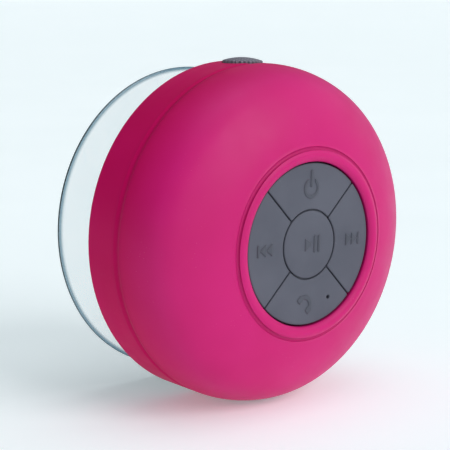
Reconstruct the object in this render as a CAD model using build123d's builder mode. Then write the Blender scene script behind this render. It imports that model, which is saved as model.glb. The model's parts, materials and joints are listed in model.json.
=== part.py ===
"""Shower speaker on a suction cup: a silicone dome with five keys, a port plug and a rear driver.

Millimetres. The wall is the plane Y = 0, the speaker stands out of it along -Y, and Z is up.
Every piece is placed by its depth: its distance from the wall along the body's axis.
"""

import math
import os

from build123d import *

# ---------------------------------------------------------------- body
body_radius = 43.0
body_back = 17.0  # depth of the body's rear edge
rear_edge_round = 0.8
wall_end = 30.3  # depth where the straight side wall turns into the dome
side_arc_radius = 22.0
shoulder_arc_radius = 13.5
front_arc_radius = 33.0
side_arc_end = 22.0  # degrees from the side wall
shoulder_arc_end = 55.0
front_arc_end = 79.8
skin_thickness = 1.54
skin_gap = 0.06  # between the skin and the housing
housing_thickness = 2.0
crease_depth = 28.9
crease_cut = 0.36
crease_cut_radius = 1.8
crease_blend = 0.9

# ---------------------------------------------------------------- key pad
ring_crest = (21.65, 50.85)  # radius and depth of the raised ring's crest
ring_groove_radius = 0.55  # round groove at the ring's foot
pad_opening_radius = 20.4
ring_inner_top = 50.0
key_face = 49.7
key_underside = 48.0
key_outer_radius = 20.0
key_inner_radius = 8.35  # the round play key
groove = 0.4  # gap between neighbouring keys
key_corner = 0.35
key_edge = 0.3
stem_radius = 1.9
stem_end = 45.9
stem_hole_radius = 2.3
switch_circle = 14.0
deck_front = 46.6
deck_back = 45.0
mat_thickness = 0.7
mat_radius = 20.15
symbol_height = 0.3
symbol_stroke = 0.7
mic_at = (7.0, -14.0)
mic_hole_radius = 0.55
mic_port_radius = 0.8
led_at = (-7.0, -14.0)
led_port_radius = 1.2

# ---------------------------------------------------------------- screws
screw_core_radius = 0.95
pilot_radius = 1.0
clearance_radius = 1.15
cover_screw_core_radius = 1.2
cover_pilot_radius = 1.25
cover_clearance_radius = 1.4
pilot_depth = 4.0

# ---------------------------------------------------------------- main board and switches
board_front = 41.6
board_thickness = 1.6
board_back = board_front - board_thickness
board_radius = 26.0
board_post_circle = 21.5
board_post_radius = 2.6
board_post_angle = 30.0
board_screw_head = (1.9, 1.3)  # radius and height
board_screw_length = 4.8
hex_socket_radius = 0.75
switch_size = 6.2
switch_top = 44.7
switch_well_radius = 1.85
switch_well_floor = 42.6
switch_dome_height = 0.2
plunger_radius = 1.7
plunger_bottom = 43.6
boot_radius = 2.6
capsule_radius = 2.0
capsule_height = 1.5
module_height = 2.0
chip_height = 1.5
connector_height = 3.4
connector_size = (5.0, 6.0)
connector_at = (20.5, -4.0)
capacitor_radius = 2.0
capacitor_height = 3.2
capacitor_at = (19.0, 5.5)

# ---------------------------------------------------------------- charging port
charge_board_depth = 20.9
charge_board_thickness = 1.2
charge_board_front = charge_board_depth + charge_board_thickness
charge_board_size = (19.0, 8.3)
charge_board_height = 31.35  # height of its centre above the axis
charge_posts_at = ((7.1, 30.0), (-7.1, 30.0))
charge_post_radius = 2.2
charge_screw_head = (1.8, 1.3)
socket_size = (7.5, 2.6)
socket_wall = 0.3
socket_mouth = 38.6
socket_length = 5.4
port_depth = charge_board_front + socket_size[1] / 2
plug_radius = 5.1
plug_seat = 42.3  # height of the plug's seat above the axis
plug_edge = 43.3
plug_crown = 44.15
grip_notches = 28
grip_notch_radius = 0.3
tongue_size = (7.3, 3.4)
tongue_bottom = 39.1
tongue_corner = 1.0
leg_offset = 3.8  # the captive leg stands this far in front of the plug's centre
leg_radius = 0.6
leg_bottom = 32.2
barb_radius = 1.0
barb_height = 1.0
port_clearance = 0.25

# ---------------------------------------------------------------- rear cover
boss_radius = 10.2
boss_back = 8.0
boss_front = 15.2
mouth_radius = 5.88
socket_radius = 8.3
socket_back = 10.0
socket_front = 13.6
plate_back = 12.2
plate_front = 14.2
plate_radius = 27.0
flange_radius = 40.0
flange_back = 17.2
housing_back = 19.0
spigot_radius = 39.2
spigot_inner = 37.2
spigot_front = 21.2
seal_groove_floor = 38.2
seal_groove = (19.5, 20.7)
seal_tube = 0.57
cover_post_circle = 32.6
cover_post_radius = 3.0
cover_boss_radius = 3.9
cover_seat = 16.2
cover_post_back = 17.8
cover_screw_head = (2.5, 1.6)
cover_screw_length = 10.0
sound_hole_radius = 0.85
sound_hole_rings = ((12.4, 16), (15.0, 20), (17.5, 24))  # radius of the ring and number of holes
mesh_thickness = 0.25
mesh_radius = 18.6

# ---------------------------------------------------------------- suction cup
cup_radius = 40.5
cup_contact_radius = 35.5
cup_rim_thickness = 1.0
cup_dish_height = 3.4
neck_radius = 5.8
neck_back = 8.0
head_radius = 7.9
head_back = 10.1
head_front = 13.5

# ---------------------------------------------------------------- speaker driver
driver_radius = 20.0
driver_back = 15.2
driver_flange = 1.0
driver_screw_circle = 22.8
driver_post_radius = 2.3
driver_screw_head = (3.4, 1.3)
driver_screw_length = 2.8
gasket_inner = 18.7
basket_mouth = 18.4
spider_shelf = 20.6
gap_plate_back = 21.9
gap_plate_radius = 10.2
gap_radius = 7.2
magnet_back = 23.4
magnet_front = 28.4
magnet_radius = 13.0
magnet_bore = 8.0
yoke_front = 30.4
yoke_radius = 12.7
pole_radius = 6.3
coil_radius = 6.5
former_wall = 0.2
winding_wall = 0.3
cone_edge = 15.4
roll_edge = 18.35
roll_depth = 16.9
paper = 0.4

# ---------------------------------------------------------------- battery and leads
battery_size = (30.0, 20.0, 5.0)
foam_thickness = 1.0
foam_size = (18.0, 14.0)
protection_board_size = (2.0, 17.0, 2.6)
lead_radius = 0.5

# Sketch plane for revolved profiles: x is the radius and y is the depth.
SECTION = Plane(origin=(0, 0, 0), x_dir=(1, 0, 0), z_dir=(0, 0, -1))


# ---------------------------------------------------------------- helpers
def facing(depth):
    """The plane square to the axis at this depth, seen from the front, with x to the right and y up."""
    return Plane(origin=(0, -depth, 0), x_dir=(1, 0, 0), z_dir=(0, -1, 0))


def level(height):
    """The horizontal plane at this height, with its origin over the charging port."""
    return Plane(origin=(0, -port_depth, height), x_dir=(1, 0, 0), z_dir=(0, 0, 1))


def polar(centre, radius, degrees):
    """The point at an angle on a circle of the revolved section."""
    angle = math.radians(degrees)
    return (centre[0] + radius * math.cos(angle), centre[1] + radius * math.sin(angle))


def ring_of(radius, count, start=0):
    """Places spread evenly on a circle round the axis."""
    return [polar((0, 0), radius, start + number * 360 / count) for number in range(count)]


def discs(depth, places, radius, length, mode=Mode.ADD):
    """Adds or cuts a disc at each place, from this depth towards the front by length."""
    with BuildSketch(facing(depth)) as outline:
        with Locations(*places):
            Circle(radius)
    extrude(outline.sketch, amount=length, mode=mode)


def screws(seat, places, head, core_radius, length):
    """Screws with their heads on this seat. Their shanks run to the front, or back if length is negative."""
    head_radius, head_height = head
    discs(seat, places, head_radius, -math.copysign(head_height, length))
    discs(seat, places, core_radius, length)


def revolve_section(mode=Mode.ADD):
    """Turns the pending section about the body's axis."""
    return revolve(axis=Axis.Y, mode=mode)


def spherical_arc(edge_radius, edge_depth, apex_depth):
    """A spherical cap's section, from its apex on the axis out to its edge."""
    rise = edge_depth - apex_depth
    sphere = (edge_radius**2 + rise**2) / (2 * abs(rise))
    half_way = sphere - math.sqrt(sphere**2 - (edge_radius / 2) ** 2)
    middle = (edge_radius / 2, apex_depth + math.copysign(half_way, rise))
    ThreePointArc((0, apex_depth), middle, (edge_radius, edge_depth))


def on_wall_at(section, depth):
    """The section's corner on the body's side wall at this depth."""
    return section.vertices().sort_by(lambda v: math.hypot(v.X - body_radius, v.Y - depth))[0]


# Centres of the dome's three tangent arcs, from the side wall to the button ring.
side_centre = (body_radius - side_arc_radius, wall_end)
shoulder_centre = polar(side_centre, side_arc_radius - shoulder_arc_radius, side_arc_end)
front_centre = polar(shoulder_centre, shoulder_arc_radius - front_arc_radius, shoulder_arc_end)

housing_inset = skin_thickness + skin_gap
cavity_inset = housing_inset + housing_thickness
skin_inner_radius = body_radius - skin_thickness
housing_radius = body_radius - housing_inset
cavity_radius = body_radius - cavity_inset
housing_rim = polar(front_centre, front_arc_radius - housing_inset, front_arc_end)
skin_lip_radius = flange_radius + 0.2


def dome_arcs(inset, last_angle=front_arc_end):
    """Draws the dome's profile this far inside the skin's outer face and returns its front end."""
    CenterArc(side_centre, side_arc_radius - inset, 0, side_arc_end)
    CenterArc(shoulder_centre, shoulder_arc_radius - inset, side_arc_end, shoulder_arc_end - side_arc_end)
    CenterArc(front_centre, front_arc_radius - inset, shoulder_arc_end, last_angle - shoulder_arc_end)
    return polar(front_centre, front_arc_radius - inset, last_angle)


cover_posts = ring_of(cover_post_circle, 4, 45)
board_posts = ring_of(board_post_circle, 3, board_post_angle)
driver_posts = ring_of(driver_screw_circle, 4)
stem_places = [(0, 0), *ring_of(switch_circle, 4)]
port_opening = (tongue_size[0] + 2 * port_clearance, tongue_size[1] + 2 * port_clearance)
opening_corner = tongue_corner + port_clearance

# ---------------------------------------------------------------- suction cup
with BuildPart() as suction_cup:
    with BuildSketch(SECTION):
        with BuildLine():
            spherical_arc(cup_contact_radius, 0, cup_dish_height)
            Polyline((cup_contact_radius, 0), (cup_radius, 0), (cup_radius, cup_rim_thickness / 2))
            Line((cup_radius, cup_rim_thickness / 2), (cup_radius - 0.4, cup_rim_thickness))
            Spline(
                (cup_radius - 0.4, cup_rim_thickness),
                (cup_contact_radius - 4.0, 2.6),
                (18.0, 4.9),
                (9.0, 6.2),
                (neck_radius, neck_back),
                tangents=((-1, 0.12), (0, 1)),
            )
            Polyline((neck_radius, neck_back), (neck_radius, head_back), (head_radius - 0.6, head_back))
            ThreePointArc((head_radius - 0.6, head_back), (head_radius, head_back + 0.7), (7.2, 11.8))
            Polyline((7.2, 11.8), (5.0, head_front), (0, head_front), (0, cup_dish_height))
        make_face()
    revolve_section()

# ---------------------------------------------------------------- silicone skin
with BuildPart() as silicone_skin:
    with BuildSketch(SECTION) as skin_section:
        with BuildLine():
            well_radius = housing_rim[0] - skin_gap
            well_cosine = (well_radius - front_centre[0]) / (front_arc_radius - skin_thickness)
            Polyline((skin_lip_radius, body_back), (body_radius, body_back), (body_radius, wall_end))
            ring_foot = dome_arcs(0)
            ThreePointArc(ring_foot, ring_crest, (pad_opening_radius, ring_inner_top))
            Polyline((pad_opening_radius, ring_inner_top), (pad_opening_radius, deck_front))
            skin_well = dome_arcs(skin_thickness, math.degrees(math.acos(well_cosine)))
            Polyline((pad_opening_radius, deck_front), (well_radius, deck_front), skin_well)
            Polyline((skin_inner_radius, wall_end), (skin_inner_radius, housing_back))
            Polyline((skin_inner_radius, housing_back), (skin_lip_radius, housing_back))
            Polyline((skin_lip_radius, housing_back), (skin_lip_radius, body_back))
        make_face()
        # The soft crease round the side, then the round groove at the ring's foot.
        with Locations((body_radius + crease_cut_radius - crease_cut, crease_depth)):
            Circle(crease_cut_radius, mode=Mode.SUBTRACT)
        crease_half = math.sqrt(crease_cut_radius**2 - (crease_cut_radius - crease_cut) ** 2)
        lips = [on_wall_at(skin_section, crease_depth + side * crease_half) for side in (-1, 1)]
        fillet(lips, crease_blend)
        fillet(on_wall_at(skin_section, body_back), rear_edge_round)
        with Locations((ring_foot[0] + 0.1, ring_foot[1] + ring_groove_radius / 2)):
            Circle(ring_groove_radius, mode=Mode.SUBTRACT)
    revolve_section()
    # Seat of the port plug, then the way through for its tongue and its captive leg.
    with BuildSketch(level(plug_seat)):
        Circle(plug_radius + port_clearance)
    extrude(amount=body_radius - plug_seat + 1, mode=Mode.SUBTRACT)
    with BuildSketch(level(plug_seat)):
        RectangleRounded(*port_opening, opening_corner)
        with Locations((0, -leg_offset)):
            Circle(leg_radius + port_clearance)
    extrude(amount=-(plug_seat - housing_radius + 1), mode=Mode.SUBTRACT)

# ---------------------------------------------------------------- front housing
with BuildPart() as front_housing:
    # Screw posts first, so that they are trimmed to the inside of the dome.
    discs(cover_post_back, cover_posts, cover_post_radius, deck_front - cover_post_back)
    discs(charge_board_front, charge_posts_at, charge_post_radius, deck_front - charge_board_front)
    discs(board_front, board_posts, board_post_radius, deck_front - board_front)
    with BuildSketch(SECTION):
        with BuildLine():
            Polyline((0, body_back), (cavity_radius, body_back), (cavity_radius, housing_back))
            Polyline((cavity_radius, housing_back), (housing_radius, housing_back))
            Line((housing_radius, housing_back), (housing_radius, wall_end))
            dome_arcs(housing_inset)
            Polyline(housing_rim, (housing_rim[0], deck_front), (0, deck_front), (0, body_back))
        make_face()
    revolve_section(Mode.INTERSECT)
    with BuildSketch(SECTION):
        with BuildLine():
            Polyline((cavity_radius, housing_back), (housing_radius, housing_back))
            Line((housing_radius, housing_back), (housing_radius, wall_end))
            dome_arcs(housing_inset)
            Polyline(housing_rim, (housing_rim[0], deck_front), (0, deck_front), (0, deck_back))
            deck_sine = (deck_back - front_centre[1]) / (front_arc_radius - cavity_inset)
            deck_edge = dome_arcs(cavity_inset, math.degrees(math.asin(deck_sine)))
            Line((0, deck_back), deck_edge)
            Line((cavity_radius, wall_end), (cavity_radius, housing_back))
        make_face()
    revolve_section()
    # Holes for the key stems, the microphone and the light.
    deck = deck_front - deck_back
    discs(deck_back, stem_places, stem_hole_radius, deck, Mode.SUBTRACT)
    discs(deck_back, [mic_at], mic_port_radius, deck, Mode.SUBTRACT)
    discs(deck_back, [led_at], led_port_radius, deck, Mode.SUBTRACT)
    # Pilot holes.
    discs(cover_post_back, cover_posts, cover_pilot_radius, cover_screw_length, Mode.SUBTRACT)
    discs(charge_board_front, charge_posts_at, pilot_radius, 1.5 * pilot_depth, Mode.SUBTRACT)
    discs(board_front, board_posts, pilot_radius, pilot_depth, Mode.SUBTRACT)
    # The charging port and the hole for the plug's captive leg.
    with BuildSketch(level(plug_seat)):
        RectangleRounded(*port_opening, opening_corner)
        with Locations((0, -leg_offset)):
            Circle(leg_radius + port_clearance)
    extrude(amount=-(plug_seat - cavity_radius + 2), mode=Mode.SUBTRACT)

# ---------------------------------------------------------------- key pad
with BuildPart() as keypad_mat:
    discs(deck_front, [(0, 0)], mat_radius, mat_thickness)
    discs(deck_front, stem_places, stem_hole_radius, mat_thickness, Mode.SUBTRACT)
    discs(deck_front, [mic_at], mic_port_radius, mat_thickness, Mode.SUBTRACT)


def bar(x, z, length):
    """An upright stroke of a symbol."""
    with Locations((x, z)):
        SlotOverall(length, symbol_stroke, rotation=90)


def triangle(x, z, width, height, pointing=1):
    """A filled triangle, with the middle of its back edge at (x, z)."""
    Polygon((x, z - height / 2), (x + pointing * width, z), (x, z + height / 2), align=None)


def power_symbol():
    """An open ring with a stroke standing up out of its gap."""
    with Locations((0, 13.9)):
        Circle(2.5)
        Circle(2.5 - symbol_stroke, mode=Mode.SUBTRACT)
    with Locations((0, 16.0)):
        Rectangle(2.3, 2.4, mode=Mode.SUBTRACT)
    bar(0, 16.3, 4.2)


def skip_symbol(pointing):
    """Two triangles and a bar, pointing outwards on the left or the right key."""
    triangle(pointing * 12.4, 0, 1.9, 3.0, pointing)
    triangle(pointing * 14.4, 0, 1.9, 3.0, pointing)
    bar(pointing * 16.8, 0, 3.0)


def next_symbol():
    skip_symbol(1)


def previous_symbol():
    skip_symbol(-1)


def call_symbol():
    """A telephone handset: a curved grip between an earpiece and a mouthpiece."""
    with Locations(Location((-0.4, -14.1), -45)):
        with Locations((0, -1.3)):
            Circle(2.5)
            Circle(1.5, mode=Mode.SUBTRACT)
        with Locations((0, -2.6)):
            Rectangle(6.0, 2.8, mode=Mode.SUBTRACT)
        with Locations((-1.95, -1.2), (1.95, -1.2)):
            RectangleRounded(1.5, 1.7, 0.3)


def play_symbol():
    """A play triangle and the two strokes of a pause sign."""
    triangle(-1.5, 0, 2.2, 3.2)
    bar(1.7, 0, 4.2)
    bar(3.1, 0, 4.2)


def key_stem(place):
    """The stem under a key that pushes its switch."""
    discs(stem_end, [place], stem_radius, key_underside - stem_end)


def sector_key(centre_angle, symbol, with_mic_hole=False):
    """One of the four outer keys, with its stem and its raised symbol."""
    with BuildPart() as key:
        with BuildSketch(facing(key_underside)) as outline:
            Circle(key_outer_radius)
            Circle(key_inner_radius + groove, mode=Mode.SUBTRACT)
            apex = polar((0, 0), groove / math.sqrt(2), centre_angle)
            corners = [polar(apex, 2 * key_outer_radius, centre_angle + turn) for turn in (-45, 45)]
            far = polar(apex, 3 * key_outer_radius, centre_angle)
            Polygon(apex, corners[0], far, corners[1], align=None, mode=Mode.INTERSECT)
            fillet(outline.vertices(), key_corner)
        extrude(amount=key_face - key_underside)
        fillet(key.faces().sort_by(Axis.Y)[0].edges(), key_edge)
        key_stem(polar((0, 0), switch_circle, centre_angle))
        with BuildSketch(facing(key_face)):
            symbol()
        extrude(amount=symbol_height)
        if with_mic_hole:
            discs(key_underside, [mic_at], mic_hole_radius, key_face - key_underside, Mode.SUBTRACT)
    return key


key_next = sector_key(0, next_symbol)
key_power = sector_key(90, power_symbol)
key_previous = sector_key(180, previous_symbol)
key_call = sector_key(270, call_symbol, with_mic_hole=True)

with BuildPart() as key_play:
    discs(key_underside, [(0, 0)], key_inner_radius, key_face - key_underside)
    fillet(key_play.faces().sort_by(Axis.Y)[0].edges(), key_edge)
    key_stem((0, 0))
    with BuildSketch(facing(key_face)):
        play_symbol()
    extrude(amount=symbol_height)


# ---------------------------------------------------------------- switches
def switch_plunger(place):
    """The button of one tactile switch, under its key's stem."""
    with BuildPart() as plunger:
        discs(plunger_bottom, [place], plunger_radius, stem_end - plunger_bottom)
        chamfer(plunger.faces().sort_by(Axis.Y)[-1].edges(), 0.2)
    return plunger


plunger_names = ("play", "next", "power", "previous", "call")
plungers = {name: switch_plunger(place) for name, place in zip(plunger_names, stem_places)}

with BuildPart() as switch_bodies:
    with BuildSketch(facing(board_front)):
        with Locations(*stem_places):
            RectangleRounded(switch_size, switch_size, 0.4)
    extrude(amount=switch_top - board_front)
    discs(switch_well_floor, stem_places, switch_well_radius, switch_top - switch_well_floor, Mode.SUBTRACT)

with BuildPart() as switch_domes:
    discs(switch_well_floor, stem_places, switch_well_radius - 0.1, switch_dome_height)

# ---------------------------------------------------------------- main board
with BuildPart() as main_board:
    discs(board_back, [(0, 0)], board_radius, board_thickness)
    discs(board_back, board_posts, clearance_radius, board_thickness, Mode.SUBTRACT)

with BuildPart() as main_board_screws:
    screws(board_back, board_posts, board_screw_head, screw_core_radius, board_screw_length)
    with BuildSketch(facing(board_back - board_screw_head[1])):
        with Locations(*board_posts):
            RegularPolygon(hex_socket_radius, 6)
    extrude(amount=board_screw_head[1] / 2, mode=Mode.SUBTRACT)


def on_board_back(places_and_sizes, height, corner):
    """Blocks that stand on the rear face of the main board: [((x, z), (width, length)), ...]."""
    with BuildPart() as group:
        with BuildSketch(facing(board_back - height)):
            for place, size in places_and_sizes:
                with Locations(place):
                    RectangleRounded(*size, corner)
        extrude(amount=height)
    return group


chips = [((-8.0, -16.0), (5.0, 4.0)), ((2.0, -16.5), (4.0, 4.0)), ((9.5, -16.0), (3.0, 3.0))]
board_chips = on_board_back(chips, chip_height, 0.1)
bluetooth_module = on_board_back([((-2.0, 16.0), (15.0, 10.0))], module_height, 0.5)
battery_connector = on_board_back([(connector_at, connector_size)], connector_height, 0.4)
speaker_connector_at = (-connector_at[0], connector_at[1])
speaker_connector = on_board_back([(speaker_connector_at, connector_size)], connector_height, 0.4)

with BuildPart() as board_capacitors:
    capacitors_at = [capacitor_at, (-capacitor_at[0], capacitor_at[1])]
    discs(board_back - capacitor_height, capacitors_at, capacitor_radius, capacitor_height)
    fillet(board_capacitors.faces().sort_by(Axis.Y)[-2:].edges(), 0.3)

with BuildPart() as microphone_boot:
    discs(board_front, [mic_at], boot_radius, deck_back - board_front)
    discs(board_front, [mic_at], capsule_radius + 0.05, capsule_height + 0.1, Mode.SUBTRACT)
    discs(board_front, [mic_at], mic_port_radius, deck_back - board_front, Mode.SUBTRACT)

with BuildPart() as microphone_capsule:
    discs(board_front, [mic_at], capsule_radius, capsule_height)
    discs(board_front + capsule_height - 0.4, [mic_at], 0.5, 0.4, Mode.SUBTRACT)

with BuildPart() as status_led:
    with BuildSketch(facing(board_front)):
        with Locations(led_at):
            RectangleRounded(1.6, 3.2, 0.2)
    extrude(amount=1.1)

# ---------------------------------------------------------------- battery
battery_back = yoke_front + foam_thickness

with BuildPart() as battery_foam:
    with BuildSketch(facing(yoke_front)):
        RectangleRounded(*foam_size, 1.5)
    extrude(amount=foam_thickness)

with BuildPart() as battery_cell:
    with BuildSketch(facing(battery_back)):
        RectangleRounded(battery_size[0], battery_size[1], 1.2)
    extrude(amount=battery_size[2])
    fillet(battery_cell.faces().filter_by(Axis.Y).edges(), 0.9)

with BuildPart() as battery_protection_board:
    with BuildSketch(facing(battery_back + (battery_size[2] - protection_board_size[2]) / 2)):
        with Locations(((battery_size[0] + protection_board_size[0]) / 2 + 0.1, 0)):
            Rectangle(protection_board_size[0], protection_board_size[1])
    extrude(amount=protection_board_size[2])

# ---------------------------------------------------------------- charging port
with BuildPart() as charge_board:
    with BuildSketch(facing(charge_board_depth)):
        with Locations((0, charge_board_height)):
            RectangleRounded(*charge_board_size, 0.6)
    extrude(amount=charge_board_thickness)
    discs(charge_board_depth, charge_posts_at, clearance_radius, charge_board_thickness, Mode.SUBTRACT)

with BuildPart() as charge_board_screws:
    screws(charge_board_depth, charge_posts_at, charge_screw_head, screw_core_radius, 1.5 * pilot_depth)

socket_inside = (socket_size[0] - 2 * socket_wall, socket_size[1] - 2 * socket_wall)

with BuildPart() as usb_receptacle:
    with BuildSketch(level(socket_mouth - socket_length)):
        RectangleRounded(*socket_size, 0.5)
        RectangleRounded(*socket_inside, 0.3, mode=Mode.SUBTRACT)
    extrude(amount=socket_length)

with BuildPart() as usb_insert:
    with BuildSketch(level(socket_mouth - socket_length)):
        RectangleRounded(socket_inside[0] - 0.1, socket_inside[1] - 0.1, 0.3)
    extrude(amount=1.2)
    with BuildSketch(level(socket_mouth - socket_length)):
        with Locations((0, 0.3)):
            Rectangle(4.0, 0.7)
    extrude(amount=4.4)

with BuildPart() as port_plug:
    # A low domed cap with a notched edge for the fingernail.
    with BuildSketch(Plane(origin=(0, -port_depth, 0), x_dir=(1, 0, 0), z_dir=(0, -1, 0))):
        with BuildLine():
            spherical_arc(plug_radius, plug_edge, plug_crown)
            Polyline((plug_radius, plug_edge), (plug_radius, plug_seat), (0, plug_seat), (0, plug_crown))
        make_face()
    revolve(axis=Axis((0, -port_depth, 0), (0, 0, 1)))
    with BuildSketch(level(plug_seat + 0.3)):
        with PolarLocations(plug_radius, grip_notches):
            Circle(grip_notch_radius)
    extrude(amount=plug_crown - plug_seat, mode=Mode.SUBTRACT)
    with BuildSketch(level(plug_seat)):
        RectangleRounded(*tongue_size, tongue_corner)
    extrude(amount=tongue_bottom - plug_seat)
    with BuildSketch(level(plug_seat)):
        with Locations((0, -leg_offset)):
            Circle(leg_radius)
    extrude(amount=leg_bottom - plug_seat)
    with BuildSketch(level(leg_bottom)):
        with Locations((0, -leg_offset)):
            Circle(barb_radius)
    extrude(amount=barb_height)
    chamfer(port_plug.faces().sort_by(Axis.Z)[0].edges(), 0.35)

# ---------------------------------------------------------------- rear cover
with BuildPart() as rear_cover:
    # Screw bosses first, so that they are trimmed to the outside of the cover.
    discs(plate_back, cover_posts, cover_boss_radius, cover_post_back - plate_back)
    discs(plate_back, driver_posts, driver_post_radius, driver_back + driver_flange - plate_back)
    with BuildSketch(SECTION):
        with BuildLine():
            Polyline(
                (0, plate_back),
                (plate_radius, plate_back),
                (flange_radius, flange_back),
                (flange_radius, spigot_front),
                (0, spigot_front),
                close=True,
            )
        make_face()
    revolve_section(Mode.INTERSECT)
    with BuildSketch(SECTION):
        with BuildLine():
            Polyline(
                (mouth_radius, boss_back),
                (boss_radius, boss_back),
                (boss_radius, plate_back),
                (plate_radius, plate_back),
                (flange_radius, flange_back),
                (flange_radius, housing_back),
                (spigot_radius, housing_back),
                (spigot_radius, seal_groove[0]),
                (seal_groove_floor, seal_groove[0]),
                (seal_groove_floor, seal_groove[1]),
                (spigot_radius, seal_groove[1]),
                (spigot_radius, spigot_front),
                (spigot_inner, spigot_front),
                (spigot_inner, flange_back + 1.1),
                (plate_radius - 0.6, plate_front),
                (boss_radius, plate_front),
                (boss_radius, boss_front),
                (0, boss_front),
                (0, socket_front),
                (socket_radius, socket_front),
                (socket_radius, socket_back),
                (mouth_radius, socket_back),
                close=True,
            )
        make_face()
    revolve_section()
    plate_thickness = plate_front - plate_back
    for hole_circle, count in sound_hole_rings:
        discs(plate_back, ring_of(hole_circle, count), sound_hole_radius, plate_thickness, Mode.SUBTRACT)
    # Pockets and clearance holes for the cover screws, pilot holes for the driver's.
    discs(cover_seat, cover_posts, cover_screw_head[0] + 0.4, plate_back - cover_seat, Mode.SUBTRACT)
    discs(cover_seat, cover_posts, cover_clearance_radius, cover_post_back - cover_seat, Mode.SUBTRACT)
    driver_seat = driver_back + driver_flange
    discs(driver_seat, driver_posts, pilot_radius, -driver_screw_length - 0.2, Mode.SUBTRACT)

with BuildPart() as rear_cover_screws:
    screws(cover_seat, cover_posts, cover_screw_head, cover_screw_core_radius, cover_screw_length)
    with BuildSketch(facing(cover_seat - cover_screw_head[1])):
        with Locations(*cover_posts):
            Rectangle(2.6, 0.6)
            Rectangle(0.6, 2.6)
    extrude(amount=1.1, mode=Mode.SUBTRACT)

with BuildPart() as rear_cover_seal:
    with BuildSketch(SECTION):
        with Locations((seal_groove_floor + seal_tube + 0.03, sum(seal_groove) / 2)):
            Circle(seal_tube)
    revolve_section()

with BuildPart() as grille_mesh:
    discs(plate_front, [(0, 0)], mesh_radius, mesh_thickness)
    discs(plate_front, [(0, 0)], boss_radius + 0.2, mesh_thickness, Mode.SUBTRACT)

# ---------------------------------------------------------------- speaker driver
with BuildPart() as speaker_gasket:
    discs(plate_front, [(0, 0)], driver_radius, driver_back - plate_front)
    discs(plate_front, [(0, 0)], gasket_inner, driver_back - plate_front, Mode.SUBTRACT)

with BuildPart() as speaker_basket:
    with BuildSketch(SECTION):
        with BuildLine():
            Polyline(
                (driver_radius, driver_back),
                (basket_mouth, driver_back),
                (basket_mouth, roll_depth),
                (13.4, spider_shelf),
                (11.6, spider_shelf),
                (11.6, spider_shelf + 0.8),
                (gap_radius + 0.2, spider_shelf + 0.8),
                (gap_radius + 0.2, gap_plate_back),
                (13.2, gap_plate_back),
                (basket_mouth + 0.7, 17.5),
                (basket_mouth + 0.7, driver_seat),
                (driver_radius, driver_seat),
                close=True,
            )
        make_face()
    revolve_section()
    # Four vents through the basket's cone.
    with BuildSketch(facing(17.2)):
        for angle in (45, 135, 225, 315):
            with Locations(Location(polar((0, 0), 16.0, angle), angle)):
                RectangleRounded(3.6, 12.0, 1.2)
    extrude(amount=3.0, mode=Mode.SUBTRACT)

with BuildPart() as speaker_terminal:
    with BuildSketch(facing(gap_plate_back)):
        with Locations((-11.6, 0)):
            Rectangle(2.6, 9.0)
    extrude(amount=1.0)

with BuildPart() as speaker_top_plate:
    discs(gap_plate_back, [(0, 0)], gap_plate_radius, magnet_back - gap_plate_back)
    discs(gap_plate_back, [(0, 0)], gap_radius, magnet_back - gap_plate_back, Mode.SUBTRACT)

with BuildPart() as speaker_magnet:
    discs(magnet_back, [(0, 0)], magnet_radius, magnet_front - magnet_back)
    chamfer(speaker_magnet.faces().filter_by(Axis.Y).edges(), 0.5)
    discs(magnet_back, [(0, 0)], magnet_bore, magnet_front - magnet_back, Mode.SUBTRACT)

with BuildPart() as speaker_yoke:
    discs(magnet_front, [(0, 0)], yoke_radius, yoke_front - magnet_front)
    discs(gap_plate_back, [(0, 0)], pole_radius, magnet_front - gap_plate_back)

with BuildPart() as voice_coil:
    former_radius = coil_radius + former_wall
    discs(18.6, [(0, 0)], former_radius, 6.2)
    discs(21.6, [(0, 0)], former_radius + winding_wall, 3.0)
    discs(18.6, [(0, 0)], coil_radius, 6.2, Mode.SUBTRACT)

with BuildPart() as speaker_cone:
    with BuildSketch(SECTION):
        with BuildLine():
            cone_neck = former_radius + 0.05
            Polyline((cone_neck, 19.3), (cone_edge, 16.5), (cone_edge, 16.95), (cone_neck, 19.8), close=True)
        make_face()
    revolve_section()

with BuildPart() as dust_cap:
    with BuildSketch(SECTION):
        with BuildLine():
            spherical_arc(former_radius, 18.2, 17.0)
            Line((former_radius, 18.2), (former_radius, 18.2 + paper))
            spherical_arc(former_radius, 18.2 + paper, 17.0 + paper)
            Line((0, 17.0 + paper), (0, 17.0))
        make_face()
    revolve_section()

with BuildPart() as speaker_surround:
    with BuildSketch(SECTION):
        with BuildLine():
            inner_edge = cone_edge + 0.05
            roll_middle = (inner_edge + roll_edge) / 2
            crest = roll_depth - 1.2
            back = roll_depth - paper
            inner_foot = inner_edge + 0.35
            outer_foot = roll_edge - 0.35
            Polyline((inner_edge, back), (inner_edge, roll_depth), (inner_foot, roll_depth))
            ThreePointArc((inner_foot, roll_depth), (roll_middle, crest), (outer_foot, roll_depth))
            Polyline((outer_foot, roll_depth), (roll_edge, roll_depth), (roll_edge, back))
            ThreePointArc((roll_edge, back), (roll_middle, crest - paper), (inner_edge, back))
        make_face()
    revolve_section()

with BuildPart() as speaker_spider:
    with BuildSketch(SECTION):
        with BuildLine():
            ripples = [(7.9, 20.5), (8.8, 20.0), (9.7, 20.5), (10.6, 20.0)]
            path = [(former_radius + 0.05, 20.3), *ripples, (11.6, 20.3), (13.2, 20.3)]
            lower = Polyline(*path)
            upper = Polyline(*[(radius, depth + 0.3) for radius, depth in path])
            Line(lower @ 0, upper @ 0)
            Line(lower @ 1, upper @ 1)
        make_face()
    revolve_section()

with BuildPart() as speaker_screws:
    screws(driver_seat, driver_posts, driver_screw_head, screw_core_radius, -driver_screw_length)


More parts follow.
